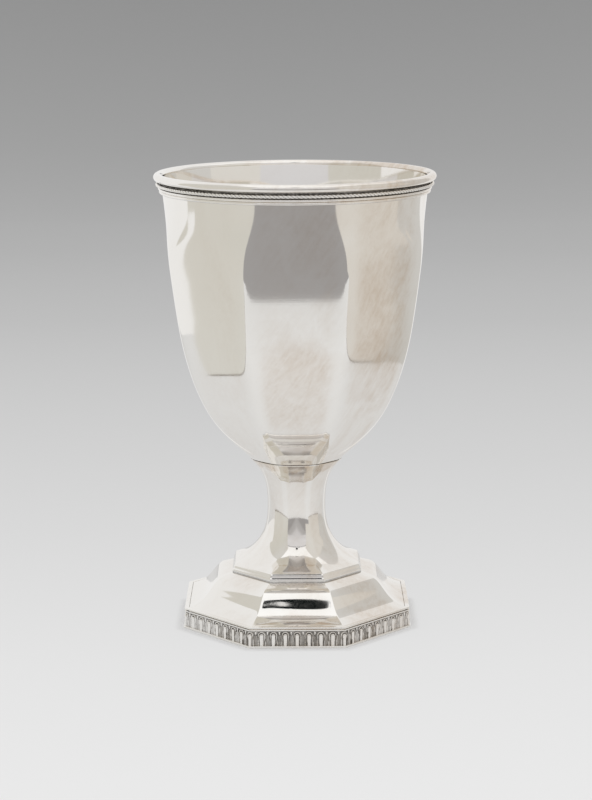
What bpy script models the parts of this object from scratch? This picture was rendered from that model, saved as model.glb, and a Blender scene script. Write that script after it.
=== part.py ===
"""Footed silver goblet.

An egg-shaped cup with eight soft facets stands on a hollow waisted stem and an
octagonal domed foot.  A lip wire, a rope wire and a reeded moulding are applied
round the mouth, and a ledge wire, a frieze of upright tongues and a plain base
wire round the foot.

Lengths are in metres and +Z is up.  The origin is the centre of the face that
the foot stands on, and one flat of every octagon faces -Y.  Each piece has its
origin on the axis at its own bottom and hangs from the piece that carries it.
An outline is a list of (radius, height) points counted from that origin.  On an
octagonal piece the radius is the half width across flats.
"""
import math

import bmesh
import bpy

MM = 0.001

# Octagon and resolution
SIDES = 8
ROUND_STEPS = 48
CURVE_STEPS = 8
BEAD_STEPS = 4
CREASE_DEGREES = 30.0

# Gap left for the solder between two pieces
SOLDER_GAP = 0.3 * MM

# Base wire: the plain band that the goblet stands on
BASE_WIRE_WIDTH = 1.65 * MM
BASE_WIRE_HEIGHT = 0.75 * MM
BASE_WIRE_CHAMFER = 0.2 * MM

# Foot: a raised sheet whose dome turns down into an upright skirt
SKIRT_HALF_FLATS = 38.3 * MM
FOOT_WALL = 0.9 * MM
DOME_HEIGHT = 18.3 * MM
DOME_WAIST_HALF_FLATS = 31.05 * MM
DOME_WAIST_HEIGHT = 13.5 * MM
DOME_HOLE_HALF_FLATS = 15.0 * MM
DOME_TOP_MARGIN = 0.1 * MM
DOME_EDGE_SLOPE = -26.0
DOME_WAIST_SLOPE = -54.0
DOME_BROW_SLOPE = -16.0
DOME_UPPER_PULLS = (0.45, 0.52)
DOME_LOWER_PULLS = (0.62, 0.30)

# Frieze strip on the skirt
FRIEZE_HEIGHT = 5.4 * MM
FRIEZE_GROUND = 0.65 * MM
FRIEZE_BORDER_HEIGHT = 0.95 * MM
FRIEZE_BORDER_RELIEF = 0.45 * MM
TONGUES_PER_SIDE = 8
TONGUE_WIDTH = 1.3 * MM
TONGUE_RELIEF = 0.65 * MM
TONGUE_TOP_CLEARANCE = 0.25 * MM
TONGUE_ROOT = 0.25 * MM

# Ledge wire over the frieze
LEDGE_HEIGHT = 0.65 * MM
LEDGE_PROJECTION = 1.25 * MM
LEDGE_ROUNDING = 0.25 * MM

# Stem: an upright step, an octagonal flare, a round neck and a flare to the cup
STEM_WALL = 0.8 * MM
STEP_HALF_FLATS = 22.9 * MM
STEP_HEIGHT = 3.75 * MM
STEP_TAPER = 0.15 * MM
STEP_INNER_ROUNDING = 0.05 * MM
STEM_HEIGHT = 40.2 * MM
NECK_RADIUS = 10.35 * MM
NECK_HEIGHT = 22.9 * MM
STEM_TOP_INSET = 0.1 * MM
STEM_TOP_LAND = 0.3 * MM
STEM_FLARE_SLOPE = 152.0
STEM_TOP_SLOPE = 54.5
STEM_FLARE_PULLS = (0.40, 0.47)
STEM_TOP_PULLS = (0.49, 0.40)

# Cup, with heights above its own seat on the stem
CUP_WALL = 0.8 * MM
CUP_SEAT_RADIUS = 16.4 * MM
CUP_SHOULDER_RADIUS = 39.3 * MM
CUP_SHOULDER_HEIGHT = 42.0 * MM
CUP_MOUTH_RADIUS = 46.7 * MM
CUP_DEPTH = 99.5 * MM
CUP_SEAT_SLOPE = 43.4
CUP_SHOULDER_SLOPE = 78.0
CUP_MOUTH_SLOPE = 83.5
CUP_BODY_PULLS = (0.27, 0.52)
CUP_MOUTH_PULLS = (0.18, 0.47)

# Facets: how tight the corners are, how much of them shows at the seam of cup
# and stem, and how far they take to grow above it and to fade under the moulding
STEP_SHARPNESS = 400.0
STEP_FACET_FADE = 4
CUP_SHARPNESS = 60.0
SEAM_FACETING = 0.35
FACET_GROWTH = 16.0 * MM
FACET_FADE = 42.0 * MM

# Lip wire, which caps the edge of the cup
LIP_HALF_WIDTH = 1.2 * MM
LIP_HALF_HEIGHT = 1.4 * MM
LIP_OVERHANG = 1.25 * MM
LIP_INNER_EDGE = 0.3 * MM
LIP_WRAP_END = 135.0
LIP_STEPS = 10

# Rope wire, lying in the channel of the moulding
ROPE_RADIUS = 0.55 * MM
ROPE_BELOW_LIP = 1.15 * MM
ROPE_SIDES = 8

# Reeded moulding below the rope
MOULDING_BACK = 0.3 * MM
MOULDING_TOP_GAP = 0.35 * MM
REED_RADIUS = 0.5 * MM
REED_HALF_ARC = 75.0
UPPER_REED_PROJECTION = 1.0 * MM
LOWER_REED_PROJECTION = 0.8 * MM
REED_GROOVE = 0.12 * MM

POLISHED_SILVER = ((0.90, 0.885, 0.86, 1.0), 0.12)
WORN_SILVER = ((0.84, 0.82, 0.79, 1.0), 0.2)
OXIDISED_SILVER = ((0.62, 0.60, 0.57, 1.0), 0.34)

HALF_SIDE_ANGLE = math.pi / SIDES
UPRIGHT = 90.0
TINY = 1e-7


def curve(start, start_slope, end, end_slope, pulls, steps=CURVE_STEPS):
    """Points of a smooth curve after its start; slopes in degrees, pulls as shares of the chord."""
    chord = math.dist(start, end)
    out = math.radians(start_slope)
    into = math.radians(end_slope)
    pull_1 = pulls[0] * chord
    pull_2 = pulls[1] * chord
    handle_1 = (start[0] + pull_1 * math.cos(out), start[1] + pull_1 * math.sin(out))
    handle_2 = (end[0] - pull_2 * math.cos(into), end[1] - pull_2 * math.sin(into))
    points = []
    for step in range(1, steps + 1):
        t = step / steps
        weights = ((1 - t) ** 3, 3 * (1 - t) ** 2 * t, 3 * (1 - t) * t ** 2, t ** 3)
        corners = (start, handle_1, handle_2, end)
        radius = sum(weight * corner[0] for weight, corner in zip(weights, corners))
        height = sum(weight * corner[1] for weight, corner in zip(weights, corners))
        points.append((radius, height))
    return points


def oval(centre, half_width, half_height, first, last, steps):
    """Points of an oval arc about centre, from the first angle to the last, in degrees."""
    points = []
    for step in range(steps + 1):
        angle = math.radians(first + (last - first) * step / steps)
        points.append((centre[0] + half_width * math.cos(angle), centre[1] + half_height * math.sin(angle)))
    return points


def radius_at(outline, height):
    """Radius of an outline at a height, on the outline's last crossing of it."""
    found = outline[-1][0]
    for (radius_1, height_1), (radius_2, height_2) in zip(outline, outline[1:]):
        if height_1 <= height <= height_2 and height_2 > height_1:
            share = (height - height_1) / (height_2 - height_1)
            found = radius_1 + share * (radius_2 - radius_1)
    return found


def corner_reach(angle, sharpness):
    """How far an octagon with rounded corners stands outside its inscribed circle of radius one."""
    reach = 0.0
    at_flat = 0.0
    for side in range(SIDES):
        toward = 2 * HALF_SIDE_ANGLE * side
        reach += max(0.0, math.cos(angle - toward)) ** sharpness
        at_flat += max(0.0, math.cos(toward)) ** sharpness
    return (at_flat / reach) ** (1 / sharpness) - 1


def smooth_share(value, low, high):
    """Share of the way from low to high, eased at both ends."""
    share = min(1.0, max(0.0, (value - low) / (high - low)))
    return share * share * (3 - 2 * share)


def turn(outline, steps, closed=False, faceting=None):
    """Spin an outline round Z into a mesh, starting on a corner of the octagon.

    Faceting gives the extra reach at an angle and height, as a share of the radius.
    """
    bm = bmesh.new()
    cos_start = math.cos(HALF_SIDE_ANGLE)
    sin_start = math.sin(HALF_SIDE_ANGLE)
    verts = [bm.verts.new((radius * cos_start, radius * sin_start, height)) for radius, height in outline]
    edges = [bm.edges.new(pair) for pair in zip(verts, verts[1:])]
    if closed:
        edges.append(bm.edges.new((verts[-1], verts[0])))
    bmesh.ops.spin(bm, geom=verts + edges, cent=(0, 0, 0), axis=(0, 0, 1), angle=2 * math.pi,
                   steps=steps, use_merge=True)
    if faceting is not None:
        for vert in bm.verts:
            factor = 1 + faceting(math.atan2(vert.co.y, vert.co.x), vert.co.z)
            vert.co.x *= factor
            vert.co.y *= factor
    bmesh.ops.remove_doubles(bm, verts=bm.verts, dist=TINY)
    bmesh.ops.recalc_face_normals(bm, faces=bm.faces)
    outward = sum(face.calc_area() * face.normal.xy.dot(face.calc_center_median().xy) for face in bm.faces)
    if not closed and outward < 0:
        bmesh.ops.reverse_faces(bm, faces=bm.faces)
    return bm


def turn_octagon(outline, closed=False):
    """Spin an outline given across flats into a sharp octagon."""
    to_corner = 1 / math.cos(HALF_SIDE_ANGLE)
    return turn([(radius * to_corner, height) for radius, height in outline], SIDES, closed)


def make_material(name, finish):
    colour, roughness = finish
    material = bpy.data.materials.new(name)
    material.use_nodes = True
    shader = material.node_tree.nodes["Principled BSDF"]
    shader.inputs["Base Color"].default_value = colour
    shader.inputs["Roughness"].default_value = roughness
    shader.inputs["Metallic"].default_value = 1.0
    material.diffuse_color = colour
    return material


def add_piece(name, bm, finish, height, carrier=None):
    """Make an object from a mesh, with its origin at a height above its carrier's origin."""
    mesh = bpy.data.meshes.new(name)
    bm.to_mesh(mesh)
    bm.free()
    mesh.shade_smooth()
    mesh.set_sharp_from_angle(angle=math.radians(CREASE_DEGREES))
    mesh.materials.append(make_material(name, finish))
    piece = bpy.data.objects.new(name, mesh)
    piece.parent = carrier
    piece.location.z = height
    bpy.context.collection.objects.link(piece)
    return piece


def give_wall(piece, thickness):
    """Turn an open outer skin into sheet metal of even thickness, on the skin's inner side."""
    wall = piece.modifiers.new("Wall", "SOLIDIFY")
    wall.thickness = thickness
    wall.offset = -1.0
    wall.use_even_offset = True


# Heights on the foot, and the half width at which its wires start
FRIEZE_BASE = BASE_WIRE_HEIGHT + SOLDER_GAP
LEDGE_BASE = FRIEZE_BASE + FRIEZE_HEIGHT + SOLDER_GAP
LEDGE_TOP = LEDGE_BASE + LEDGE_HEIGHT
FOOT_WIRE_INSIDE = SKIRT_HALF_FLATS + SOLDER_GAP

# Heights on the cup, and on the pieces round its mouth
LIP_BASE = CUP_DEPTH - LIP_HALF_HEIGHT
ROPE_BASE = LIP_BASE - ROPE_BELOW_LIP - ROPE_RADIUS
CHANNEL_BASE = ROPE_BASE - SOLDER_GAP
MOULDING_BASE = CHANNEL_BASE - 4 * REED_RADIUS - REED_GROOVE


def foot_outline():
    """Outer side of the foot, from the hole in its top down to the edge of its skirt."""
    top_half_flats = STEP_HALF_FLATS + DOME_TOP_MARGIN
    top_edge = (top_half_flats, DOME_HEIGHT)
    waist = (DOME_WAIST_HALF_FLATS, DOME_WAIST_HEIGHT)
    brow = FOOT_WALL / 2
    turn_start = (SKIRT_HALF_FLATS - brow, LEDGE_TOP)
    points = [(DOME_HOLE_HALF_FLATS, DOME_HEIGHT), top_edge]
    points += curve(top_edge, DOME_EDGE_SLOPE, waist, DOME_WAIST_SLOPE, DOME_UPPER_PULLS)
    points += curve(waist, DOME_WAIST_SLOPE, turn_start, DOME_BROW_SLOPE, DOME_LOWER_PULLS)
    points.append((SKIRT_HALF_FLATS, LEDGE_TOP - brow))
    points.append((SKIRT_HALF_FLATS, 0.0))
    return points


def stem_outline():
    """Outer side of the stem, from the foot of its step up to the cup."""
    rounding = STEM_WALL + STEP_INNER_ROUNDING
    rounding_middle = (STEP_HALF_FLATS - STEP_TAPER - rounding, STEP_HEIGHT - rounding)
    flare_start = (rounding_middle[0], STEP_HEIGHT)
    neck = (NECK_RADIUS, NECK_HEIGHT)
    top = (CUP_SEAT_RADIUS - STEM_TOP_INSET, STEM_HEIGHT - STEM_TOP_LAND)
    points = [(STEP_HALF_FLATS, 0.0)]
    points += oval(rounding_middle, rounding, rounding, 0.0, 90.0, BEAD_STEPS)
    points += curve(flare_start, STEM_FLARE_SLOPE, neck, UPRIGHT, STEM_FLARE_PULLS)
    points += curve(neck, UPRIGHT, top, STEM_TOP_SLOPE, STEM_TOP_PULLS)
    points.append((top[0], STEM_HEIGHT))
    return points


def stem_faceting(angle, height):
    """Sharp corners at the step, none at the neck and soft ones again at the cup."""
    over_step = min(1.0, max(0.0, (NECK_HEIGHT - height) / (NECK_HEIGHT - STEP_HEIGHT)))
    over_neck = smooth_share(height, NECK_HEIGHT, STEM_HEIGHT)
    at_step = over_step ** STEP_FACET_FADE * corner_reach(angle, STEP_SHARPNESS)
    at_seam = over_neck * SEAM_FACETING * corner_reach(angle, CUP_SHARPNESS)
    return at_step + at_seam


def cup_outline():
    """Outer side of the cup, from the middle of its underside up to the mouth."""
    seat = (CUP_SEAT_RADIUS, 0.0)
    shoulder = (CUP_SHOULDER_RADIUS, CUP_SHOULDER_HEIGHT)
    mouth = (CUP_MOUTH_RADIUS, CUP_DEPTH)
    points = [(0.0, 0.0), seat]
    points += curve(seat, CUP_SEAT_SLOPE, shoulder, CUP_SHOULDER_SLOPE, CUP_BODY_PULLS)
    points += curve(shoulder, CUP_SHOULDER_SLOPE, mouth, CUP_MOUTH_SLOPE, CUP_MOUTH_PULLS, 2 * CURVE_STEPS)
    return points


def cup_faceting(angle, height):
    """Eight facets that are soft at the seat and fade into the round mouth."""
    growth = SEAM_FACETING + (1 - SEAM_FACETING) * smooth_share(height, 0.0, FACET_GROWTH)
    fade = 1 - smooth_share(height, MOULDING_BASE - FACET_FADE, MOULDING_BASE)
    return growth * fade * corner_reach(angle, CUP_SHARPNESS)


def make_foot():
    foot = add_piece("foot_dome", turn_octagon(foot_outline()), POLISHED_SILVER, 0.0)
    give_wall(foot, FOOT_WALL)
    return foot


def make_base_wire(foot):
    inside = FOOT_WIRE_INSIDE
    outside = inside + BASE_WIRE_WIDTH
    chamfer = BASE_WIRE_CHAMFER
    outline = [(inside, 0.0), (outside - chamfer, 0.0), (outside, chamfer)]
    outline += [(outside, BASE_WIRE_HEIGHT - chamfer), (outside - chamfer, BASE_WIRE_HEIGHT)]
    outline.append((inside, BASE_WIRE_HEIGHT))
    add_piece("foot_base_wire", turn_octagon(outline, True), WORN_SILVER, 0.0, foot)


def on_facet(side, along, out, height):
    """Point at a distance along a side of the octagon from its middle, at a half width."""
    angle = 2 * HALF_SIDE_ANGLE * side
    across = (math.cos(angle), math.sin(angle))
    return (out * across[0] - along * across[1], out * across[1] + along * across[0], height)


def tongue_half(bm, side, centre, direction, ground, top):
    """One half of an upright round-topped tongue, raised from the ground of the frieze.

    The half runs from the middle line at centre towards direction.  At the end
    of a side the middle line is the corner, so it moves out with the relief.
    """
    half_width = TONGUE_WIDTH / 2
    outline = [(0.0, 0.0), (half_width, 0.0)]
    outline += oval((0.0, top - half_width), half_width, half_width, 0.0, 90.0, BEAD_STEPS)
    rows = []
    for out in (ground - TONGUE_ROOT, ground + TONGUE_RELIEF):
        middle = out * math.tan(HALF_SIDE_ANGLE) * centre
        rows.append([bm.verts.new(on_facet(side, middle + direction * across, out, height))
                     for across, height in outline])
    back, face = rows
    bm.faces.new(back)
    bm.faces.new(face)
    for index in range(len(outline) - 1):
        bm.faces.new((back[index], back[index + 1], face[index + 1], face[index]))


def make_frieze(foot):
    inside = FOOT_WIRE_INSIDE
    ground = inside + FRIEZE_GROUND
    border = ground + FRIEZE_BORDER_RELIEF
    border_foot = FRIEZE_HEIGHT - FRIEZE_BORDER_HEIGHT
    outline = [(inside, 0.0), (ground, 0.0), (ground, border_foot), (border, border_foot),
               (border, FRIEZE_HEIGHT), (inside, FRIEZE_HEIGHT)]
    frieze = add_piece("foot_frieze", turn_octagon(outline, True), OXIDISED_SILVER, FRIEZE_BASE, foot)

    bm = bmesh.new()
    top = border_foot - TONGUE_TOP_CLEARANCE
    for side in range(SIDES):
        for place in range(TONGUES_PER_SIDE + 1):
            centre = 2 * place / TONGUES_PER_SIDE - 1
            for direction in (-1, 1):
                if abs(centre + direction / TONGUES_PER_SIDE) < 1:
                    tongue_half(bm, side, centre, direction, ground, top)
    bmesh.ops.remove_doubles(bm, verts=bm.verts, dist=TINY)
    bmesh.ops.recalc_face_normals(bm, faces=bm.faces)
    tongues = add_piece("frieze_tongues", bm, OXIDISED_SILVER, FRIEZE_BASE, foot)
    tongues.hide_render = True
    tongues.display_type = "WIRE"
    join = frieze.modifiers.new("Tongues", "BOOLEAN")
    join.operation = "UNION"
    join.solver = "EXACT"
    join.object = tongues


def make_ledge_wire(foot):
    inside = FOOT_WIRE_INSIDE
    middle = (inside + LEDGE_PROJECTION - LEDGE_ROUNDING, LEDGE_HEIGHT / 2)
    outline = [(inside, 0.0)]
    outline += oval(middle, LEDGE_ROUNDING, LEDGE_HEIGHT / 2, -90.0, 90.0, BEAD_STEPS)
    outline.append((inside, LEDGE_HEIGHT))
    add_piece("foot_ledge_wire", turn_octagon(outline, True), WORN_SILVER, LEDGE_BASE, foot)


def make_stem(foot):
    skin = turn(stem_outline(), ROUND_STEPS, faceting=stem_faceting)
    stem = add_piece("stem", skin, POLISHED_SILVER, DOME_HEIGHT + SOLDER_GAP, foot)
    give_wall(stem, STEM_WALL)
    return stem


def make_cup(stem):
    skin = turn(cup_outline(), ROUND_STEPS, faceting=cup_faceting)
    cup = add_piece("bowl", skin, POLISHED_SILVER, STEM_HEIGHT + SOLDER_GAP, stem)
    give_wall(cup, CUP_WALL)
    return cup


def outside_cup(height):
    """Radius at which a piece starts that is soldered round the cup at a height on the cup."""
    return radius_at(cup_outline(), height) + SOLDER_GAP


def channel_radius():
    """Radius of the moulding's channel, in which the rope wire lies."""
    return outside_cup(ROPE_BASE + ROPE_RADIUS) + MOULDING_BACK


def make_lip_wire(cup):
    edge_rise = CUP_WALL * math.cos(math.radians(CUP_MOUTH_SLOPE))
    cap = LIP_HALF_HEIGHT + edge_rise + SOLDER_GAP
    inner_edge = CUP_MOUTH_RADIUS - CUP_WALL
    middle = (CUP_MOUTH_RADIUS + LIP_OVERHANG, LIP_HALF_HEIGHT)
    outline = [(outside_cup(LIP_BASE), 0.0)]
    outline += oval(middle, LIP_HALF_WIDTH, LIP_HALF_HEIGHT, -90.0, LIP_WRAP_END, LIP_STEPS)
    outline += [(inner_edge, cap + LIP_INNER_EDGE), (inner_edge, cap), (outside_cup(CUP_DEPTH), cap)]
    add_piece("lip_wire", turn(outline, ROUND_STEPS, True), POLISHED_SILVER, LIP_BASE, cup)


def make_rope_wire(cup):
    middle = (channel_radius() + SOLDER_GAP + ROPE_RADIUS, ROPE_RADIUS)
    last = 360.0 - 360.0 / ROPE_SIDES
    outline = oval(middle, ROPE_RADIUS, ROPE_RADIUS, 0.0, last, ROPE_SIDES - 1)
    add_piece("rope_wire", turn(outline, ROUND_STEPS, True), WORN_SILVER, ROPE_BASE, cup)


def reed(projection, middle_height):
    """Outer side of one reed of the moulding, from its lower edge to its upper edge."""
    middle = (outside_cup(MOULDING_BASE + middle_height) + projection - REED_RADIUS, middle_height)
    return oval(middle, REED_RADIUS, REED_RADIUS, -REED_HALF_ARC, REED_HALF_ARC, BEAD_STEPS)


def make_moulding(cup):
    channel_foot = CHANNEL_BASE - MOULDING_BASE
    top = LIP_BASE - MOULDING_TOP_GAP - MOULDING_BASE
    outline = [(outside_cup(MOULDING_BASE), 0.0)]
    outline += reed(LOWER_REED_PROJECTION, REED_RADIUS)
    outline += reed(UPPER_REED_PROJECTION, channel_foot - REED_RADIUS)
    outline += [(channel_radius(), channel_foot), (channel_radius(), top)]
    outline.append((outside_cup(MOULDING_BASE + top), top))
    add_piece("rim_moulding", turn(outline, ROUND_STEPS, True), WORN_SILVER, MOULDING_BASE, cup)


def clear_scene():
    for item in list(bpy.data.objects):
        bpy.data.objects.remove(item, do_unlink=True)


def main():
    clear_scene()
    foot = make_foot()
    make_base_wire(foot)
    make_frieze(foot)
    make_ledge_wire(foot)
    stem = make_stem(foot)
    cup = make_cup(stem)
    make_moulding(cup)
    make_rope_wire(cup)
    make_lip_wire(cup)


main()
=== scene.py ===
"""Footed silver goblet: its nine finished pieces, their silver, and a small white studio.

Lengths are in metres, +Z is up, and one flat of every octagon faces -Y.  An
outline is a list of (radius, height) points.  On an octagonal piece the radius
is the half width across flats.
"""
import math

import bmesh
import bpy
from mathutils import Matrix, Vector


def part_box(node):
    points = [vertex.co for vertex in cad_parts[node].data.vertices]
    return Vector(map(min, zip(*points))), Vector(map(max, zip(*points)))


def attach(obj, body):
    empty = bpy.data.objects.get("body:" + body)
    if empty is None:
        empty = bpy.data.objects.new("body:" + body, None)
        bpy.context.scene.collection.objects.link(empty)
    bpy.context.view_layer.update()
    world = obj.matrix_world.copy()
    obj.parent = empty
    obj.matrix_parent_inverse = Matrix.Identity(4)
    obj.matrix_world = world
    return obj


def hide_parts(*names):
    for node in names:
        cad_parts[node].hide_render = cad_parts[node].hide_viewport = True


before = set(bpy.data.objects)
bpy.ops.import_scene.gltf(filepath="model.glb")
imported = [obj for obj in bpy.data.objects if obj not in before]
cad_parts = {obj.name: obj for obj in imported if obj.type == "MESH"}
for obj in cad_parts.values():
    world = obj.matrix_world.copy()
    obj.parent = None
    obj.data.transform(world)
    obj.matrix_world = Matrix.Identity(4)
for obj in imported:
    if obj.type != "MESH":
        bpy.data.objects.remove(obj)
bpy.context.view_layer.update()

bl_info = {
    "name": "Footed Silver Goblet",
    "version": (1, 0, 0),
    "blender": (4, 5, 0),
    "location": "View3D > Sidebar > Goblet",
    "description": "Models a footed silver goblet piece by piece",
    "category": "Add Mesh",
}

MM = 0.001
TINY = 1e-7

# Octagons: the angle of half a side, and how sharp the foot's corners are.
SIDES = 8
HALF_SIDE = math.pi / SIDES
SHARP = 400.0

# Slopes in degrees, and the gap between the cup and the rings round its rim.
UPRIGHT = 90.0
MOUTH_SLOPE = 83.5
RIM_GAP = 0.3 * MM

# The studio: the front edge of the paper in Y, and the planes of the side cards in X.
PAPER_EDGE = -0.326
LEFT_CARD = -0.179
RIGHT_CARD = 0.209


def low(node):
    """Height of a CAD node's lowest point."""
    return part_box(node)[0].z


def high(node):
    """Height of a CAD node's highest point."""
    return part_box(node)[1].z


def reach_of(node):
    """Radius of a round CAD node, or half width across flats of an octagonal one."""
    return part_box(node)[1].x


def length(name, default, description):
    """A setting that is a length."""
    return bpy.props.FloatProperty(name=name, description=description, default=default,
                                   min=0.0, precision=5, unit="LENGTH")


def colour(name, default, description):
    """A setting that is a colour."""
    return bpy.props.FloatVectorProperty(name=name, description=description, default=default,
                                         size=3, min=0.0, max=1.0, subtype="COLOR")


class GobletSizes(bpy.types.PropertyGroup):
    """Sizes of the goblet's pieces."""
    foot_half_flats: length("Foot", reach_of("foot_dome"), "Half width of the foot's skirt across flats")
    foot_height: length("Foot height", high("foot_dome"), "Height of the flat top of the foot")
    foot_wall: length("Foot wall", 0.9 * MM, "Thickness of the foot's sheet")
    waist_half_flats: length("Foot waist", 29.6 * MM, "Half width where the foot's slope is steepest")
    waist_height: length("Foot waist height", 14.4 * MM, "Height where the foot's slope is steepest")
    step_half_flats: length("Step", reach_of("stem"), "Half width of the stem's step across flats")
    step_height: length("Step height", 2.8 * MM, "Height of the stem's step")
    stem_wall: length("Stem wall", 0.8 * MM, "Thickness of the stem's sheet")
    neck_radius: length("Neck", 10.35 * MM, "Radius of the stem's neck")
    neck_height: length("Neck height", 41.5 * MM, "Height of the neck above the table")
    seat_radius: length("Seat", 16.4 * MM, "Radius where cup and stem meet")
    shoulder_radius: length("Shoulder", 39.3 * MM, "Half width of the cup's shoulder across flats")
    shoulder_rise: length("Shoulder rise", 42.0 * MM, "Height of the shoulder above the seat")
    mouth_radius: length("Mouth", 46.7 * MM, "Radius of the cup at its mouth")
    cup_wall: length("Cup wall", 0.8 * MM, "Thickness of the cup's sheet")
    rope_radius: length("Rope", 0.55 * MM, "Radius of the twisted wire")
    tongues_per_side: bpy.props.IntProperty(
        name="Tongues", description="Tongues along each side of the foot", default=8, min=2, max=16)
    rope_turns: bpy.props.IntProperty(
        name="Rope turns", description="Full twists of the rope round the mouth",
        default=102, min=20, max=200)


class GobletFinish(bpy.types.PropertyGroup):
    """Colours and polish of the silver."""
    silver: colour("Silver", (0.93, 0.915, 0.885), "Colour of bare polished silver")
    tarnish: colour("Tarnish", (0.71, 0.62, 0.53), "Colour of the warm clouds and streaks of tarnish")
    # The oxide colour also serves as painted shade in the deepest grooves and seams.
    oxide: colour("Oxide", (0.10, 0.09, 0.08), "Colour of the dark oxide left in recesses")
    polish: bpy.props.FloatProperty(name="Polish roughness", description="Roughness of the polished sheet",
                                    default=0.055, min=0.0, max=1.0, subtype="FACTOR")


class GobletStage(bpy.types.PropertyGroup):
    """Studio round the goblet."""
    floor_near: colour("Floor", (0.82, 0.82, 0.82), "Colour of the floor in front")
    floor_far: colour("Backdrop", (0.28, 0.28, 0.28), "Colour of the backdrop behind")
    light: bpy.props.FloatProperty(name="Light", description="Strength of the soft light",
                                   default=1.0, min=0.0, max=4.0)
    lens: bpy.props.FloatProperty(name="Lens", description="Focal length of the camera in millimetres",
                                  default=93.5, min=10.0, max=300.0)


# Outlines

def curve(start, start_slope, end, end_slope, pulls, steps):
    """Points of a smooth curve after its start; slopes in degrees, pulls as shares of the chord."""
    chord = math.dist(start, end)
    out = math.radians(start_slope)
    into = math.radians(end_slope)
    pull_1 = pulls[0] * chord
    pull_2 = pulls[1] * chord
    handle_1 = (start[0] + pull_1 * math.cos(out), start[1] + pull_1 * math.sin(out))
    handle_2 = (end[0] - pull_2 * math.cos(into), end[1] - pull_2 * math.sin(into))
    points = []
    for step in range(1, steps + 1):
        t = step / steps
        weights = ((1 - t) ** 3, 3 * (1 - t) ** 2 * t, 3 * (1 - t) * t ** 2, t ** 3)
        corners = (start, handle_1, handle_2, end)
        radius = sum(weight * corner[0] for weight, corner in zip(weights, corners))
        height = sum(weight * corner[1] for weight, corner in zip(weights, corners))
        points.append((radius, height))
    return points


def oval(centre, half_width, half_height, first, last, steps):
    """Points of an oval arc about centre, from the first angle to the last, in degrees."""
    points = []
    for step in range(steps + 1):
        angle = math.radians(first + (last - first) * step / steps)
        points.append((centre[0] + half_width * math.cos(angle), centre[1] + half_height * math.sin(angle)))
    return points


def chamfer(start, slope, size):
    """Points along a short flat chamfer, doubled near its ends so that it reflects as a flat."""
    across = math.cos(math.radians(slope))
    up = math.sin(math.radians(slope))
    shares = (0.0, 0.12, 0.88, 1.0)
    return [(start[0] + share * size * across, start[1] + share * size * up) for share in shares]


def inside_of(outline, wall):
    """Inner side of a sheet, which runs along the left of its outer side."""
    points = []
    for index, (radius, height) in enumerate(outline):
        before = outline[max(0, index - 1)]
        after = outline[min(len(outline) - 1, index + 1)]
        across = after[0] - before[0]
        rise = after[1] - before[1]
        size = math.hypot(across, rise)
        points.append((radius - wall * rise / size, height + wall * across / size))
    return points


def radius_at(outline, height):
    """Radius of an outline at a height, on the outline's last crossing of it."""
    found = outline[-1][0]
    for (radius_1, height_1), (radius_2, height_2) in zip(outline, outline[1:]):
        if height_1 <= height <= height_2 and height_2 > height_1:
            share = (height - height_1) / (height_2 - height_1)
            found = radius_1 + share * (radius_2 - radius_1)
    return found


def eased(value, start, end):
    """Share of the way from start to end, eased at both ends."""
    share = min(1.0, max(0.0, (value - start) / (end - start)))
    return share * share * (3 - 2 * share)


# Turned shapes

def corner_reach(angle, sharpness):
    """How far an octagon with rounded corners stands outside its inscribed circle of radius one."""
    reach = 0.0
    at_flat = 0.0
    for side in range(SIDES):
        toward = 2 * HALF_SIDE * side
        reach += max(0.0, math.cos(angle - toward)) ** sharpness
        at_flat += max(0.0, math.cos(toward)) ** sharpness
    return (at_flat / reach) ** (1 / sharpness) - 1


def on_side(angle):
    """Nearest side's own direction, and the angle from there."""
    side = round(angle / (2 * HALF_SIDE))
    toward = 2 * HALF_SIDE * side
    return toward, angle - toward


def crowded(away, crowding):
    """Angle from a side's middle, moved toward the corner, where the surface turns."""
    share = min(1.0, abs(away) / HALF_SIDE)
    return math.copysign(HALF_SIDE * (1 - (1 - share) ** crowding), away)


def drawn(bm, outline):
    """Draw an outline in the XZ plane."""
    verts = [bm.verts.new((radius, 0.0, height)) for radius, height in outline]
    edges = [bm.edges.new(pair) for pair in zip(verts, verts[1:])]
    return verts, edges


def turned(outline, steps, closed=False, sharpness=None, crowding=1.9):
    """Spin an outline round Z, in the given steps for each side of the octagon.

    Sharpness tells how sharp the octagon's corners are at a height; a piece
    without it is round.  The attribute "edge" grows toward the corners.
    """
    bm = bmesh.new()
    verts, edges = drawn(bm, outline)
    if closed:
        edges.append(bm.edges.new((verts[-1], verts[0])))
    bmesh.ops.spin(bm, geom=verts + edges, cent=(0, 0, 0), axis=(0, 0, 1),
                   angle=2 * HALF_SIDE, steps=steps)
    for sides in (1, 2, 4):
        copy = bmesh.ops.duplicate(bm, geom=bm.verts[:] + bm.edges[:] + bm.faces[:])["geom"]
        moved = [item for item in copy if isinstance(item, bmesh.types.BMVert)]
        turn = Matrix.Rotation(2 * HALF_SIDE * sides, 3, "Z")
        bmesh.ops.rotate(bm, verts=moved, cent=(0, 0, 0), matrix=turn)
    bmesh.ops.remove_doubles(bm, verts=bm.verts, dist=TINY)
    if sharpness is not None:
        known = {}
        edge = bm.verts.layers.float.new("edge")
        for vert in bm.verts:
            radius = vert.co.xy.length
            if radius < TINY:
                continue
            toward, away = on_side(math.atan2(vert.co.y, vert.co.x))
            away = crowded(away, crowding)
            key = (round(abs(away), 6), round(vert.co.z, 7))
            if key not in known:
                known[key] = corner_reach(key[0], sharpness(vert.co.z))
            out = radius * (1 + known[key])
            vert.co.x = out * math.cos(toward + away)
            vert.co.y = out * math.sin(toward + away)
            vert[edge] = eased(abs(away) / HALF_SIDE, 0.62, 0.92)
    bmesh.ops.recalc_face_normals(bm, faces=bm.faces)
    bm.normal_update()
    return bm


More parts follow.
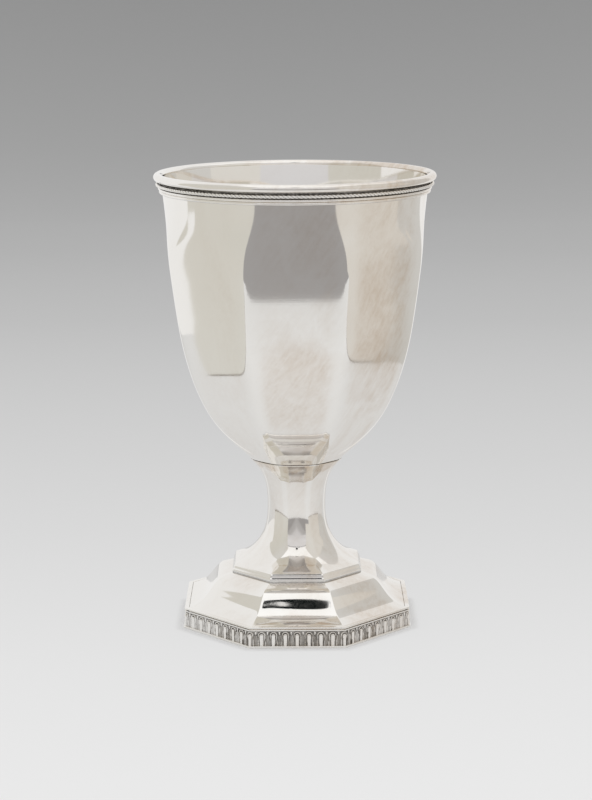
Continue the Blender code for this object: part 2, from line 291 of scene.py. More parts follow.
def sharp(height):
    """Sharpness of an octagon that has the same tight corners at every height."""
    return SHARP


def made_object(name, bm, material):
    """Put a mesh in the scene as an object, and free it."""
    mesh = bpy.data.meshes.new(name)
    bm.to_mesh(mesh)
    bm.free()
    mesh.materials.append(material)
    item = bpy.data.objects.new(name, mesh)
    bpy.context.scene.collection.objects.link(item)
    return item


def finished(name, bm, node, material, crease=35.0):
    """Make a piece from a mesh, in place of the CAD node that has its shape."""
    piece = made_object(name, bm, material)
    piece.data.shade_smooth()
    piece.data.set_sharp_from_angle(angle=math.radians(crease))
    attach(piece, "root")
    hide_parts(node)


# Material nodes

def new_group(name, inputs, outputs):
    """Make an empty shader node group; inputs are (name, kind, default), outputs (name, kind)."""
    group = bpy.data.node_groups.new(name, "ShaderNodeTree")
    for title, kind, default in inputs:
        kind = "NodeSocket" + kind
        socket = group.interface.new_socket(name=title, in_out="INPUT", socket_type=kind)
        socket.default_value = default
    for title, kind in outputs:
        kind = "NodeSocket" + kind
        group.interface.new_socket(name=title, in_out="OUTPUT", socket_type=kind)
    return group, group.nodes.new("NodeGroupInput").outputs, group.nodes.new("NodeGroupOutput")


def feed(tree, node, inputs):
    """Give a node's sockets their values, or the sockets that feed them."""
    for key, value in inputs.items():
        if isinstance(value, bpy.types.NodeSocket):
            tree.links.new(value, node.inputs[key])
        else:
            node.inputs[key].default_value = value


def add(tree, kind, inputs=None, **settings):
    """Add a node; inputs maps a socket to a value, or to a socket that feeds it."""
    node = tree.nodes.new(kind)
    for name, value in settings.items():
        setattr(node, name, value)
    feed(tree, node, inputs or {})
    return node


def maths(tree, operation, first, second=0.0, clamp=False):
    """Result of an operation on one or two numbers."""
    inputs = {0: first, 1: second}
    return add(tree, "ShaderNodeMath", inputs, operation=operation, use_clamp=clamp).outputs[0]


def vector_maths(tree, operation, first, second):
    """Result of an operation on two vectors."""
    return add(tree, "ShaderNodeVectorMath", {0: first, 1: second}, operation=operation).outputs[0]


def ranged(tree, value, from_min, from_max, to_min, to_max):
    """Value moved from one range to another, clamped to it."""
    inputs = {"Value": value, "From Min": from_min, "From Max": from_max,
              "To Min": to_min, "To Max": to_max}
    return add(tree, "ShaderNodeMapRange", inputs).outputs["Result"]


def mixed(tree, factor, first, second):
    """Colour between the first and the second."""
    return add(tree, "ShaderNodeMix", {0: factor, 6: first, 7: second}, data_type="RGBA").outputs[2]


def placed(tree, scale=(1.0, 1.0, 1.0), turn=(0.0, 0.0, 0.0)):
    """Object coordinates, turned and then scaled."""
    coordinates = add(tree, "ShaderNodeTexCoord").outputs["Object"]
    shrunk = tuple(1 / share for share in scale)
    inputs = {"Vector": coordinates, "Scale": shrunk, "Rotation": turn}
    return add(tree, "ShaderNodeMapping", inputs, vector_type="TEXTURE").outputs["Vector"]


def noise(tree, vector, scale, detail=3.0, roughness=0.5, distortion=0.0):
    """Noise from nought to one at a place."""
    inputs = {"Vector": vector, "Scale": scale, "Detail": detail, "Roughness": roughness,
              "Distortion": distortion}
    return add(tree, "ShaderNodeTexNoise", inputs).outputs["Fac"]


def make_tarnish():
    """Warm tarnish in clouds and wiped streaks, thicker where asked, thin along bare edges, and as painted
    shade heavier towards the right side.
    """
    group, given, out = new_group("Tarnish clouds", [
        ("Silver", "Color", (0.93, 0.915, 0.885, 1.0)),
        ("Tarnish", "Color", (0.70, 0.60, 0.50, 1.0)),
        ("Amount", "Float", 0.4),
        ("Patches", "Float", 0.0),
        ("Bare edge", "Float", 0.0),
        ("Roughness", "Float", 0.06),
    ], [("Color", "Color"), ("Roughness", "Float")])
    # Painted shade: tarnish is thin on the left and heavy on the right, so the right side of every piece
    # renders darker and warmer.
    across = add(group, "ShaderNodeSeparateXYZ", {0: placed(group)}).outputs["X"]
    shade_toward_right = ranged(group, across, -0.036, 0.030, 0.12, 1.1)
    clouds = noise(group, placed(group, (1.0, 1.0, 0.7)), 60.0, 4.0, 0.6, 0.8)
    broad = ranged(group, clouds, 0.36, 0.66, 0.35, 1.3)
    asked = maths(group, "MULTIPLY", maths(group, "MULTIPLY", broad, shade_toward_right), given["Amount"])
    asked = maths(group, "ADD", asked, given["Patches"])
    wiped = noise(group, placed(group, (700.0, 700.0, 70.0), (0.0, 0.6, 0.0)), 1.0, 4.0, 0.6, 0.3)
    spots = noise(group, placed(group), 330.0, 5.0, 0.65, 0.5)
    streaks = ranged(group, wiped, 0.33, 0.68, 0.75, 1.25)
    mottle = ranged(group, spots, 0.36, 0.66, 0.85, 1.15)
    uneven = maths(group, "MULTIPLY", streaks, mottle)
    kept = maths(group, "SUBTRACT", 1.0, maths(group, "MULTIPLY", given["Bare edge"], 0.7))
    amount = maths(group, "MULTIPLY", maths(group, "MULTIPLY", asked, uneven), kept, True)
    tint = mixed(group, amount, given["Silver"], given["Tarnish"])
    duller = maths(group, "MULTIPLY", amount, 0.07)
    roughness = maths(group, "ADD", given["Roughness"], duller)
    feed(group, out, {"Color": tint, "Roughness": roughness})
    return group


def make_patch():
    """Mask of one soft-edged patch, in a rounded box about its centre."""
    group, given, out = new_group("Tarnish and shade patch", [
        ("Centre", "Vector", (0.0, 0.0, 0.0)),
        ("Size", "Vector", (0.01, 0.01, 0.01)),
        ("Strength", "Float", 0.5),
        ("Added to", "Float", 0.0),
    ], [("Mask", "Float")])
    place = placed(group)
    ragged = add(group, "ShaderNodeTexNoise", {"Vector": place, "Scale": 170.0, "Detail": 4.0})
    shift = vector_maths(group, "SUBTRACT", ragged.outputs["Color"], (0.5, 0.5, 0.5))
    shift = vector_maths(group, "MULTIPLY", shift, (0.006, 0.006, 0.006))
    moved = vector_maths(group, "ADD", place, shift)
    inward = vector_maths(group, "SUBTRACT", moved, given["Centre"])
    share = vector_maths(group, "DIVIDE", inward, given["Size"])
    squared = vector_maths(group, "MULTIPLY", share, share)
    boxy = add(group, "ShaderNodeVectorMath", {0: squared}, operation="LENGTH").outputs["Value"]
    reach = maths(group, "POWER", boxy, 0.5)
    soft = ranged(group, reach, 0.78, 1.05, 1.0, 0.0)
    mask = maths(group, "MULTIPLY", soft, given["Strength"])
    feed(group, out, {"Mask": maths(group, "ADD", mask, given["Added to"])})
    return group


def make_polish_lines():
    """Height of fine lines left by polishing round the axis, with faint stray scratches and dents."""
    group, given, out = new_group("Polishing lines", [
        ("Lines", "Float", 1.0),
        ("Scratches", "Float", 1.0),
    ], [("Height", "Float")])
    lines = noise(group, placed(group, (20.0, 20.0, 1500.0)), 1.0, 3.0, 0.6)
    height = maths(group, "MULTIPLY", lines, given["Lines"])
    for turn in ((0.9, 0.3, 0.2), (-0.5, 0.8, 1.1), (0.2, -1.1, 0.6)):
        stray = noise(group, placed(group, (90.0, 240.0, 2600.0), turn), 1.0, 1.0, 0.5)
        scratch = ranged(group, stray, 0.64, 0.74, 0.0, 0.25)
        deep = maths(group, "MULTIPLY", scratch, given["Scratches"])
        height = maths(group, "SUBTRACT", height, deep)
    hammered = noise(group, placed(group), 75.0, 1.0, 0.5)
    height = maths(group, "ADD", height, maths(group, "MULTIPLY", hammered, 5.0))
    feed(group, out, {"Height": height})
    return group


def make_oxide_and_shade():
    """Dark oxide that polishing leaves in recesses, also used as painted shade in the deepest grooves and
    seams.
    """
    group, given, out = new_group("Oxide and painted shade in recesses", [
        ("Color", "Color", (0.9, 0.88, 0.85, 1.0)),
        ("Roughness", "Float", 0.1),
        ("Oxide", "Color", (0.10, 0.09, 0.08, 1.0)),
        ("Recess", "Float", 0.0),
    ], [("Color", "Color"), ("Roughness", "Float")])
    grime = noise(group, placed(group), 900.0, 3.0, 0.6)
    thickness = ranged(group, grime, 0.35, 0.6, 0.75, 1.1)
    uneven = maths(group, "MULTIPLY", given["Recess"], thickness, True)
    tint = mixed(group, uneven, given["Color"], given["Oxide"])
    rougher = maths(group, "MULTIPLY", uneven, 0.35)
    roughness = maths(group, "ADD", given["Roughness"], rougher)
    feed(group, out, {"Color": tint, "Roughness": roughness})
    return group


def grouped(tree, name, make, inputs):
    """Add a node group, made by make the first time that its name is asked for."""
    group = bpy.data.node_groups.get(name) or make()
    return add(tree, "ShaderNodeGroup", inputs, node_tree=group).outputs


def silver(name, tarnish, extra_roughness=0.0, recessed=False, patches=()):
    """Polished silver with tarnish; patches are (centre, size, strength) of thicker tarnish, which round
    some seams also paints shade.

    Recessed adds dark oxide where the mesh's recess attribute says so; on some pieces that attribute also
    paints shade into seams and grooves.
    """
    finish = bpy.context.scene.goblet_finish
    material = bpy.data.materials.new(name)
    material.use_nodes = True
    tree = material.node_tree
    edge = add(tree, "ShaderNodeAttribute", attribute_name="edge").outputs["Fac"]
    found = 0.0
    for centre, size, strength in patches:
        inputs = {"Centre": centre, "Size": size, "Strength": strength, "Added to": found}
        found = grouped(tree, "Tarnish and shade patch", make_patch, inputs)["Mask"]
    surface = grouped(tree, "Tarnish clouds", make_tarnish, {
        "Bare edge": edge, "Silver": (*finish.silver, 1.0), "Tarnish": (*finish.tarnish, 1.0),
        "Amount": tarnish, "Patches": found, "Roughness": finish.polish + extra_roughness})
    if recessed:
        recess = add(tree, "ShaderNodeAttribute", attribute_name="recess").outputs["Fac"]
        surface = grouped(tree, "Oxide and painted shade in recesses", make_oxide_and_shade, {
            "Oxide": (*finish.oxide, 1.0), "Color": surface["Color"],
            "Roughness": surface["Roughness"], "Recess": recess})
    marks = grouped(tree, "Polishing lines", make_polish_lines, {})
    inputs = {"Strength": 1.0, "Distance": 0.0015 * MM, "Height": marks["Height"]}
    bump = add(tree, "ShaderNodeBump", inputs)
    feed(tree, tree.nodes["Principled BSDF"], {
        "Metallic": 1.0, "Base Color": surface["Color"], "Roughness": surface["Roughness"],
        "Normal": bump.outputs["Normal"]})
    return material


# Pieces

def dome_outline(sizes):
    """Outer side of the foot, from the hole in its top down to the edge of its skirt."""
    top_edge = (sizes.step_half_flats + 0.1 * MM, sizes.foot_height)
    waist = (sizes.waist_half_flats, sizes.waist_height)
    waist_slope = -52.0
    brow = sizes.foot_wall / 2
    turn_start = (sizes.foot_half_flats - brow, high("foot_ledge_wire"))
    points = [(15.0 * MM, sizes.foot_height), (19.0 * MM, sizes.foot_height), top_edge]
    points += curve(top_edge, -24.0, waist, waist_slope, (0.45, 0.52), 20)
    points += curve(waist, waist_slope, turn_start, -20.0, (0.40, 0.50), 24)
    points += oval((turn_start[0], turn_start[1] - brow), brow, brow, 75.0, 0.0, 5)
    points += [(sizes.foot_half_flats, 3.5 * MM), (sizes.foot_half_flats, 0.0)]
    return points


def stem_outline(sizes):
    """Outer side of the stem, from its step, hollowed along the middle, up to the cup."""
    base = low("stem")
    wide = sizes.step_half_flats
    rise = sizes.step_height
    chamfer_slope = 126.0
    hollow_slope = 105.0
    flare_slope = 150.0
    neck = (sizes.neck_radius, sizes.neck_height)
    top = (sizes.seat_radius - 0.1 * MM, high("stem") - 0.3 * MM)
    hollow = (wide - 0.48 * MM, base + 0.66 * rise)
    foot_top = high("foot_dome") + 0.02 * MM
    points = [(wide, foot_top), (wide, base + 0.35 * MM), (wide, base + 0.50 * MM)]
    points += chamfer((wide - 0.06 * MM, base + 0.36 * rise), chamfer_slope, 0.46 * MM)
    points += curve(points[-1], chamfer_slope, hollow, hollow_slope, (0.35, 0.35), 6)
    upper = chamfer((wide - 0.62 * MM, base + 0.82 * rise), chamfer_slope, 0.34 * MM)
    points += curve(hollow, hollow_slope, upper[0], chamfer_slope, (0.35, 0.35), 6)[:-1] + upper
    flare_start = (wide - 1.35 * MM, base + rise)
    points += curve(points[-1], chamfer_slope, flare_start, flare_slope, (0.35, 0.35), 5)
    points += curve(flare_start, flare_slope, neck, UPRIGHT, (0.46, 0.38), 30)
    points += curve(neck, UPRIGHT, top, 52.0, (0.58, 0.30), 24)
    points.append((top[0], high("stem")))
    return points


def cup_outline(sizes):
    """Outer side of the cup, from its seat on the stem up to the mouth."""
    base = low("bowl")
    seat = (sizes.seat_radius, base)
    shoulder = (sizes.shoulder_radius, base + sizes.shoulder_rise)
    shoulder_slope = 78.0
    mouth = (sizes.mouth_radius, base + 99.5 * MM)
    points = [seat]
    points += curve(seat, 43.4, shoulder, shoulder_slope, (0.27, 0.52), 36)
    points += curve(shoulder, shoulder_slope, mouth, MOUTH_SLOPE, (0.18, 0.47), 40)
    return points


class GOBLET_OT_cup(bpy.types.Operator):
    """Raise the cup, with eight soft facets that fade into its round mouth"""
    bl_idname = "goblet.cup"
    bl_label = "Cup"

    def execute(self, context):
        sizes = context.scene.goblet_sizes
        outer = cup_outline(sizes)
        base = low("bowl")
        under_floor = 8
        inner = inside_of(outer, sizes.cup_wall)[under_floor:]
        inner.reverse()
        floor = (0.0, base + 0.8 * MM)
        slope = math.degrees(math.atan2(inner[-1][1] - inner[-2][1], inner[-1][0] - inner[-2][0]))
        outline = [(0.0, base), (8.0 * MM, base)] + outer + inner
        outline += curve(inner[-1], slope, floor, 180.0, (0.45, 0.45), 12)
        at_seat = 13.0
        at_wall = 60.0
        at_mouth = 6.0
        fade_start = low("rim_moulding") - 25.0 * MM

        def sharpness(height):
            share = min(1.0, max(0.0, height - base) / (16.0 * MM))
            grown = at_seat + (at_wall - at_seat) * share ** 2
            faded = math.exp(-(max(0.0, height - fade_start) / (8.1 * MM)) ** 1.4)
            return at_mouth + (grown - at_mouth) * faded
        bm = turned(outline, 28, sharpness=sharpness, crowding=1.6)
        bare = bm.verts.layers.float["edge"]
        for vert in bm.verts:
            if vert.normal.x * vert.co.x + vert.normal.y * vert.co.y < 0:
                vert[bare] = 1.0
        patches = (((30.0 * MM, -28.0 * MM, 116.0 * MM), (12.0 * MM, 16.0 * MM, 23.0 * MM), 0.16),
                   ((0.0, -37.0 * MM, 89.0 * MM), (12.0 * MM, 12.0 * MM, 18.0 * MM), 0.22),
                   ((24.0 * MM, -24.0 * MM, 92.0 * MM), (12.0 * MM, 12.0 * MM, 9.0 * MM), 0.18))
        material = silver("Silver, cup", tarnish=0.42, patches=patches)
        finished("cup", bm, "bowl", material)
        return {"FINISHED"}


class GOBLET_OT_stem(bpy.types.Operator):
    """Raise the stem, sharp-cornered at its step, round at its neck"""
    bl_idname = "goblet.stem"
    bl_label = "Stem"

    def execute(self, context):
        sizes = context.scene.goblet_sizes
        outer = stem_outline(sizes)
        inner = inside_of(outer, sizes.stem_wall)
        inner.reverse()
        foot = low("stem")
        step_top = foot + sizes.step_height
        seam = high("stem")
        at_neck = 6.0
        at_seam = 10.0

        def sharpness(height):
            over_step = max(0.0, height - step_top) / (0.2 * MM)
            below = (SHARP - at_neck) / (1 + over_step) ** 1.9
            above = (at_seam - at_neck) * eased(height, sizes.neck_height, seam)
            return at_neck + below + above
        bm = turned(outer + inner, 24, closed=True, sharpness=sharpness)
        # Dark oxide and painted shade: a dark line along the lowest edge of the step, where it sits on the
        # foot.
        layer = bm.verts.layers.float.new("recess")
        for vert in bm.verts:
            vert[layer] = 0.55 * (1 - eased(vert.co.z - foot, 0.25 * MM, 0.45 * MM))
        # Thicker tarnish round the seam under the cup, which also stands in as painted shade where the cup
        # shades the top of the stem.
        seam_tarnish_and_shade = (((0.0, 0.0, seam), (40.0 * MM, 40.0 * MM, 3.2 * MM), 0.5),)
        material = silver("Silver, stem", tarnish=0.45, recessed=True, patches=seam_tarnish_and_shade)
        finished("waisted_stem", bm, "stem", material)
        return {"FINISHED"}


class GOBLET_OT_foot(bpy.types.Operator):
    """Raise the octagonal foot, whose edge turns down into a skirt"""
    bl_idname = "goblet.foot"
    bl_label = "Foot"

    def execute(self, context):
        sizes = context.scene.goblet_sizes
        outer = dome_outline(sizes)
        inner = inside_of(outer, -sizes.foot_wall)
        inner.reverse()
        bm = turned(outer + inner, 24, closed=True, sharpness=sharp)
        self.dent_front(bm, sizes)
        # Thicker tarnish at the seams; the patch on the flat top round the step also stands in as painted
        # shade there.
        seam_tarnish_and_shade = (((0.0, 0.0, sizes.foot_height), (26.5 * MM, 26.5 * MM, 6.0 * MM), 0.25),
                 ((12.0 * MM, -20.0 * MM, 5.5 * MM), (40.0 * MM, 30.0 * MM, 4.0 * MM), 0.2))
        material = silver("Silver, foot", tarnish=0.32, extra_roughness=-0.02, patches=seam_tarnish_and_shade)
        finished("foot", bm, "foot_dome", material)
        return {"FINISHED"}

    def dent_front(self, bm, sizes):
        """Press the front facet very slightly out of true on its right, as wear has done."""
        depth = 0.03 * MM
        farthest = 6.0
        for vert in bm.verts:
            over = (vert.co.z - sizes.waist_height) / MM
            share = vert.co.x / (sizes.waist_half_flats * math.tan(HALF_SIDE))
            if vert.co.y < 0 and abs(share) < 1 and abs(over) < farthest:
                pull = share * (1 - share ** 4) * over * over * math.exp(-over * over / 4)
                vert.co.y -= depth * pull


class GOBLET_OT_foot_wires(bpy.types.Operator):
    """Bend the base wire and the ledge wire round the foot"""
    bl_idname = "goblet.foot_wires"
    bl_label = "Foot wires"

    def execute(self, context):
        inside = context.scene.goblet_sizes.foot_half_flats - 0.03 * MM
        outside = reach_of("foot_base_wire")
        top = high("foot_base_wire") + 0.03 * MM
        edge = 0.2 * MM
        under = 0.25 * MM
        outline = [(inside, 0.0)]
        outline += oval((outside - under, under), under, under, -90.0, 0.0, 4)
        outline += oval((outside - edge, top - edge), edge, edge, 0.0, 90.0, 3)
        outline.append((inside, top))
        bm = turned(outline, 20, closed=True, sharpness=sharp)
        material = silver("Silver, base wire", tarnish=0.25, extra_roughness=0.08)
        finished("base_wire", bm, "foot_base_wire", material)

        bottom = low("foot_ledge_wire")
        top = high("foot_ledge_wire")
        half_width = 0.25 * MM
        middle = (reach_of("foot_ledge_wire") - half_width, (bottom + top) / 2)
        outline = [(inside, bottom)]
        outline += oval(middle, half_width, (top - bottom) / 2, -90.0, 90.0, 8)
        outline.append((inside, top))
        bm = turned(outline, 20, closed=True, sharpness=sharp)
        material = silver("Silver, ledge wire", tarnish=0.5, extra_roughness=0.06)
        finished("ledge_wire", bm, "foot_ledge_wire", material)
        return {"FINISHED"}


def bump_shape(distance, half_width):
    """Rounded section of a raised line, one at its middle and zero at its edge."""
    share = abs(distance) / half_width
    return math.sqrt(1 - share * share) if share < 1 else 0.0


def frieze_relief(across, up, half_bay):
    """Relief over the frieze's ground and how recessed it lies there.

    Across is the distance from the middle of the nearest tongue, and up the
    height above the strip's lower edge.
    """
    across = abs(across)
    border = 4.85 * MM
    if up > border:
        rising = eased(up, border - 0.02 * MM, border + 0.12 * MM)
        return 0.5 * MM * rising, 0.8 * (1 - rising)
    relief = 0.0
    cap = 3.2 * MM
    half_width = (0.60 + 0.06 * min(1.0, up / cap)) * MM
    distance = across
    if up > cap:
        distance = math.hypot(across, up - cap)
        half_width = 0.70 * MM
    if distance < half_width:
        relief = (0.40 + 0.25 * bump_shape(distance, half_width)) * MM
    arch = 3.45 * MM
    if up >= arch:
        rim = bump_shape(math.hypot(across, up - arch) - 1.05 * MM, 0.20 * MM)
    else:
        leg = 1.05 * MM + 0.13 * MM * min(1.0, (arch - up) / (2.5 * MM))
        rim = bump_shape(across - leg, 0.17 * MM)
    relief = max(relief, 0.42 * MM * rim)
    between = half_bay - across
    dart_foot = 2.9 * MM
    if up > dart_foot:
        relief = max(relief, 0.40 * MM * bump_shape(between, 0.22 * (up - dart_foot) + 0.02 * MM))
    if up < 3.3 * MM:
        for line in (0.0, 0.43 * MM):
            relief = max(relief, 0.30 * MM * bump_shape(between - line, 0.15 * MM))
    recess = 0.8 * (1 - eased(relief, 0.06 * MM, 0.30 * MM))
    return relief, recess


class GOBLET_OT_frieze(bpy.types.Operator):
    """Press the frieze of upright tongues and bend it round the skirt"""
    bl_idname = "goblet.frieze"
    bl_label = "Frieze"

    def execute(self, context):
        sizes = context.scene.goblet_sizes
        inside = sizes.foot_half_flats - 0.03 * MM
        ground = sizes.foot_half_flats + 0.95 * MM
        strip = low("foot_frieze")
        bottom = high("foot_base_wire") + 0.04 * MM
        top = high("foot_frieze")
        rows = 42
        face = [(ground, bottom + (top - bottom) * row / rows) for row in range(rows + 1)]
        outline = [(inside, bottom)] + face + [(inside, top)]
        steps_per_tongue = 28
        bm = turned(outline, sizes.tongues_per_side * steps_per_tongue, closed=True)
        layer = bm.verts.layers.float.new("recess")
        for vert in bm.verts:
            radius = vert.co.xy.length
            angle = math.atan2(vert.co.y, vert.co.x)
            away = on_side(angle)[1]
            out = radius
            if radius > ground - TINY:
                half_bay = ground * math.tan(HALF_SIDE) / sizes.tongues_per_side
                along = radius * math.tan(away)
                across = (along + half_bay) % (2 * half_bay) - half_bay
                relief, recess = frieze_relief(across, vert.co.z - strip, half_bay)
                out = radius + relief
                vert[layer] = recess
            radius = out / math.cos(away)
            vert.co.x = radius * math.cos(angle)
            vert.co.y = radius * math.sin(angle)
        bmesh.ops.recalc_face_normals(bm, faces=bm.faces)
        material = silver("Silver, frieze", tarnish=0.4, extra_roughness=0.14, recessed=True)
        finished("frieze", bm, "foot_frieze", material, crease=60.0)
        return {"FINISHED"}


class GOBLET_OT_lip(bpy.types.Operator):
    """Turn the heavy rounded wire that caps the edge of the cup"""
    bl_idname = "goblet.lip"
    bl_label = "Lip"

    def execute(self, context):
        sizes = context.scene.goblet_sizes
        cup = cup_outline(sizes)
        mouth = cup[-1][1]
        bottom = low("lip_wire")
        cap = mouth + sizes.cup_wall * math.cos(math.radians(MOUTH_SLOPE)) + RIM_GAP
        inner_edge = sizes.mouth_radius - sizes.cup_wall - 0.03 * MM
        outside = reach_of("lip_wire")
        middle = ((inner_edge + outside) / 2, (bottom + high("lip_wire")) / 2)
        half_height = (high("lip_wire") - bottom) / 2
        outline = [(radius_at(cup, bottom) + RIM_GAP, bottom)]
        outline += oval(middle, (outside - inner_edge) / 2, half_height, -90.0, 180.0, 36)
        hem = mouth - 0.35 * MM
        slot = inner_edge + 0.23 * MM
        outline += [(inner_edge, hem), (slot, hem), (slot, cap), (sizes.mouth_radius + RIM_GAP, cap)]
        bm = turned(outline, 32, closed=True)
        material = silver("Silver, lip", tarnish=0.6, extra_roughness=0.03)
        finished("lip", bm, "lip_wire", material)
        return {"FINISHED"}


class GOBLET_OT_rope(bpy.types.Operator):
    """Twist two strands into the rope wire below the lip"""
    bl_idname = "goblet.rope"
    bl_label = "Rope"

    def execute(self, context):
        sizes = context.scene.goblet_sizes
        radius = sizes.rope_radius
        middle = (reach_of("rope_wire") - radius, low("rope_wire") + radius)
        around = 16
        outline = oval(middle, radius, radius, 0.0, 360.0 - 360.0 / around, around - 1)
        steps_per_turn = 14
        bm = turned(outline, math.ceil(sizes.rope_turns * steps_per_turn / SIDES), closed=True)
        layer = bm.verts.layers.float.new("recess")
        for vert in bm.verts:
            angle = math.atan2(vert.co.y, vert.co.x)
            out = vert.co.xy.length - middle[0]
            up = vert.co.z - middle[1]
            about = math.atan2(up, out)
            groove = abs(math.cos(about))
            size = radius * (0.70 + 0.30 * groove)
            turn = about - sizes.rope_turns * angle
            distance = middle[0] + size * math.cos(turn)
            height = middle[1] + size * math.sin(turn)
            vert.co = (distance * math.cos(angle), distance * math.sin(angle), height)
            vert[layer] = 0.9 * (1 - eased(groove, 0.0, 0.3))
        bmesh.ops.recalc_face_normals(bm, faces=bm.faces)
        material = silver("Silver, rope", tarnish=0.2, extra_roughness=0.18, recessed=True)
        finished("rope", bm, "rope_wire", material, crease=180.0)
        return {"FINISHED"}


class GOBLET_OT_moulding(bpy.types.Operator):
    """Draw the reeded moulding that carries the rope"""
    bl_idname = "goblet.moulding"
    bl_label = "Moulding"

    def execute(self, context):
        sizes = context.scene.goblet_sizes
        cup = cup_outline(sizes)
        bottom = low("rim_moulding")
        top = high("rim_moulding")
        reed = 0.5 * MM
        channel = low("rope_wire") - 0.3 * MM
        channel_radius = radius_at(cup, low("rope_wire") + sizes.rope_radius) + 0.6 * MM
        outline = [(radius_at(cup, bottom) + RIM_GAP, bottom)]
        for height, depth in ((bottom + reed, 0.8 * MM), (channel - reed, 1.0 * MM)):
            middle = (radius_at(cup, height) + RIM_GAP + depth - reed, height)
            outline += oval(middle, reed, reed, -75.0, 75.0, 10)
        outline += [(channel_radius, channel), (channel_radius, top),
                    (radius_at(cup, top) + RIM_GAP, top)]
        bm = turned(outline, 32, closed=True)
        # Painted shade with oxide: the channel under the lip is painted almost black and the seam on the
        # cup gets a dark line; the groove between the reeds gets faint oxide.
        layer = bm.verts.layers.float.new("recess")
        groove = bottom + 2 * reed + 0.06 * MM
        for vert in bm.verts:
            if vert.co.z > channel - 0.1 * MM:
                vert[layer] = 0.95
            else:
                seam_oxide_and_shade = 1 - eased(vert.co.z - bottom, 0.02 * MM, 0.16 * MM)
                in_groove = 1 - eased(abs(vert.co.z - groove), 0.05 * MM, 0.2 * MM)
                vert[layer] = max(seam_oxide_and_shade, 0.1 * in_groove)
        material = silver("Silver, moulding", tarnish=0.5, extra_roughness=0.06, recessed=True)
        finished("moulding", bm, "rim_moulding", material)
        return {"FINISHED"}


# Studio

def blank_material(name):
    """Make a material whose node tree is empty."""
    material = bpy.data.materials.new(name)
    material.use_nodes = True
    material.node_tree.nodes.clear()
    return material, material.node_tree


def glowing(name, tones, valley=0.0):
    """Plain glow of tones, (height, colour), faded into each other.

    The heights rise by valley for each metre to either side.
    """
    material, tree = blank_material(name)
    shown = (*tones[0][1], 1.0)
    if len(tones) > 1:
        place = add(tree, "ShaderNodeTexCoord").outputs["Object"]
        parts = add(tree, "ShaderNodeSeparateXYZ", {0: place})
        up = parts.outputs["Z"]
    if valley:
        sideways = maths(tree, "ABSOLUTE", parts.outputs["X"])
        up = maths(tree, "SUBTRACT", up, maths(tree, "MULTIPLY", sideways, valley))
    for (start, _), (end, tone) in zip(tones, tones[1:]):
        shown = mixed(tree, ranged(tree, up, start, end, 0.0, 1.0), shown, (*tone, 1.0))
    glow = add(tree, "ShaderNodeEmission", {"Color": shown})
    add(tree, "ShaderNodeOutputMaterial", {"Surface": glow.outputs[0]})
    return material


def flat_card(name, corners, material):
    """Make a stage card that only reflections show, from its corners in order."""
    bm = bmesh.new()
    bm.faces.new([bm.verts.new(corner) for corner in corners])
    card = made_object(name, bm, material)
    card.visible_camera = False
    card.visible_diffuse = False
    card.visible_shadow = False


def stand_card(name, start, end, bottom, top, material):
    """Stand a card on the line from start to end."""
    corners = ((*end, bottom), (*start, bottom), (*start, top), (*end, top))
    flat_card(name, corners, material)


def cut_card(name, across, outline, material):
    """Stand a card cut to an outline of (distance back, height) in the plane at across."""
    flat_card(name, [(across, back, height) for back, height in outline], material)


def hang_card(name, middle, half_sizes, material):
    """Hang an upright half oval with its flat edge down."""
    outline = oval((middle[0], middle[2]), *half_sizes, 0.0, 180.0, 16)
    flat_card(name, [(across, middle[1], height) for across, height in outline], material)


def floor_material(stage):
    """Pale sweep whose tone falls off towards the back, with a soft shade kept round the foot."""
    material, tree = blank_material("Studio sweep")
    place = add(tree, "ShaderNodeTexCoord").outputs["Object"]
    parts = add(tree, "ShaderNodeSeparateXYZ", {0: place})
    depth = maths(tree, "ADD", parts.outputs["Y"], parts.outputs["Z"])
    first = -0.35
    last = 1.80
    ramp = add(tree, "ShaderNodeValToRGB", {"Fac": ranged(tree, depth, first, last, 0.0, 1.0)})
    stops = ramp.color_ramp
    far = Vector(stage.floor_far)
    near = Vector(stage.floor_near)
    stops.elements[0].color = (*(near * 0.93), 1.0)
    stops.elements[1].color = (*far, 1.0)
    for back, blend in ((-0.17, 1.0), (-0.06, 0.93), (0.12, 0.77), (0.25, 0.68), (0.42, 0.58),
                        (0.66, 0.44), (1.02, 0.31), (1.20, 0.27), (1.45, 0.14)):
        stop = stops.elements.new((back - first) / (last - first))
        stop.color = (*far.lerp(near, blend), 1.0)
    seen = add(tree, "ShaderNodeEmission", {"Color": ramp.outputs["Color"]})
    paper = add(tree, "ShaderNodeBsdfDiffuse", {"Color": (0.9, 0.9, 0.895, 1.0)})
    shade = add(tree, "ShaderNodeBsdfDiffuse", {"Color": ramp.outputs["Color"]})
    across = parts.outputs["X"]
    back = parts.outputs["Y"]
    slant = math.sqrt(0.5)
    reach = maths(tree, "MAXIMUM", maths(tree, "ABSOLUTE", across), maths(tree, "ABSOLUTE", back))
    for operation in ("ADD", "SUBTRACT"):
        oblique = maths(tree, "ABSOLUTE", maths(tree, operation, across, back))
        reach = maths(tree, "MAXIMUM", reach, maths(tree, "MULTIPLY", oblique, slant))
    outside = maths(tree, "SUBTRACT", reach, reach_of("foot_base_wire"))
    path = add(tree, "ShaderNodeLightPath")
    shaded = ranged(tree, outside, 1.2 * MM, 3.5 * MM, 0.65, 0.08)
    toned = add(tree, "ShaderNodeMixShader", {0: shaded, 1: seen.outputs[0], 2: shade.outputs[0]})
    sharp_rays = maths(tree, "MAXIMUM", path.outputs["Is Camera Ray"], path.outputs["Is Glossy Ray"])
    sharp_rays = maths(tree, "MAXIMUM", sharp_rays, path.outputs["Is Transmission Ray"])
    both = add(tree, "ShaderNodeMixShader", {0: sharp_rays, 1: paper.outputs[0], 2: toned.outputs[0]})
    add(tree, "ShaderNodeOutputMaterial", {"Surface": both.outputs[0]})
    return material


